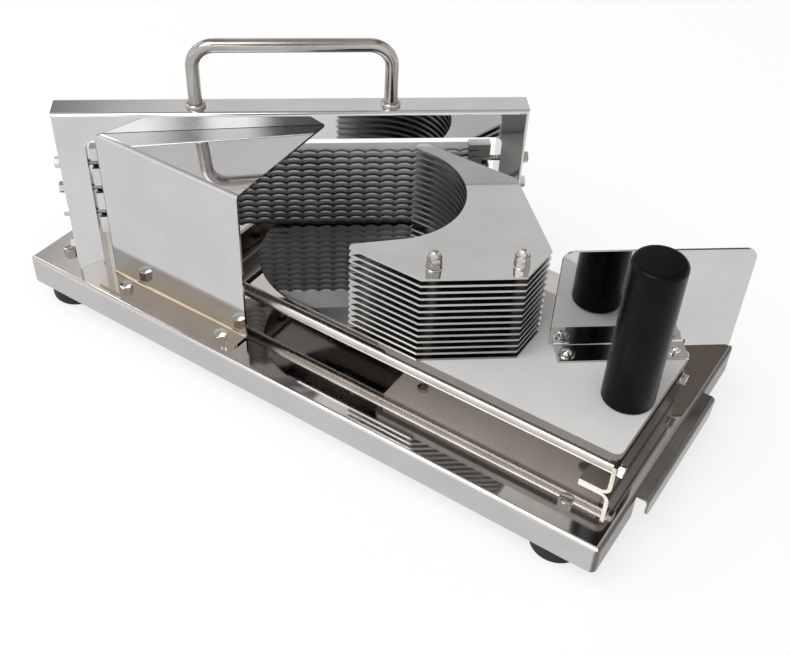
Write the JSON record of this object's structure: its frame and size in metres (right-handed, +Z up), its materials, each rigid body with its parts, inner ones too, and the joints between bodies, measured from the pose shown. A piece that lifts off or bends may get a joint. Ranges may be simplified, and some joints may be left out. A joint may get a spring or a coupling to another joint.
{
  "type": "tomato slicer",
  "caption": "Hand-pushed tomato slicer: a stack of pusher plates with an upright grip slides on two rods through a rack of serrated blades set obliquely in a frame on a steel tray.",
  "frame": {"origin": "on the table, under the middle of the whole slicer", "axes": "+X along the slide towards the operator's end with the grip, +Z up, +Y away from the side guard"},
  "size_m": [0.444, 0.203, 0.206],
  "materials": {
    "tray_steel": "polished top, satin sides",
    "frame_steel": "mirror polished",
    "guard_steel": "mirror polished",
    "rod_steel": "ground and polished",
    "plate_steel": "satin",
    "blade_steel": "ground",
    "block_steel": "milled",
    "fastener_steel": "bright",
    "board_plastic": "matte",
    "grip_plastic": "satin",
    "foot_rubber": "matte"
  },
  "bodies": {
    "base": {"base_tray": "tray_steel", "end_lip": "tray_steel", "rubber_feet": "foot_rubber", "foot_bolts": "fastener_steel", "rail_bracket_left": "rod_steel", "rail_bracket_right": "rod_steel", "near_rail": "rod_steel", "far_rail": "rod_steel", "rail_bolts": "fastener_steel", "bracket_screws": "fastener_steel", "frame_shell": "frame_steel", "frame_foot_brackets": "frame_steel", "frame_foot_bolts": "fastener_steel", "carry_handle": "frame_steel", "handle_collars": "frame_steel", "handle_nuts": "fastener_steel", "left_blade_block": "block_steel", "right_blade_block": "block_steel", "blade_pins": "block_steel", "tension_bolts": "fastener_steel", "side_guard": "guard_steel", "guard_bolts": "fastener_steel", "blade_01": "blade_steel", "blade_02": "blade_steel", "blade_03": "blade_steel", "blade_04": "blade_steel", "blade_05": "blade_steel", "blade_06": "blade_steel", "blade_07": "blade_steel", "blade_08": "blade_steel", "blade_09": "blade_steel", "blade_10": "blade_steel", "blade_11": "blade_steel", "blade_12": "blade_steel", "blade_13": "blade_steel"},
    "carriage": {"slide_board": "board_plastic", "slide_runner": "board_plastic", "runner_screws": "fastener_steel", "nose_plate": "plate_steel", "stack_spacers": "plate_steel", "stack_bolts": "fastener_steel", "stack_nuts": "fastener_steel", "grip": "grip_plastic", "grip_stud": "fastener_steel", "hand_guard": "guard_steel", "hand_guard_screws": "fastener_steel", "fin_01": "plate_steel", "fin_02": "plate_steel", "fin_03": "plate_steel", "fin_04": "plate_steel", "fin_05": "plate_steel", "fin_06": "plate_steel", "fin_07": "plate_steel", "fin_08": "plate_steel", "fin_09": "plate_steel", "fin_10": "plate_steel", "fin_11": "plate_steel", "fin_12": "plate_steel", "fin_13": "plate_steel"}
  },
  "joints": [
    {"name": "pusher_slide", "type": "slide", "parent": "base", "child": "carriage", "axis": [-1, 0, 0], "range_m": [0, 0.143]}
  ]
}
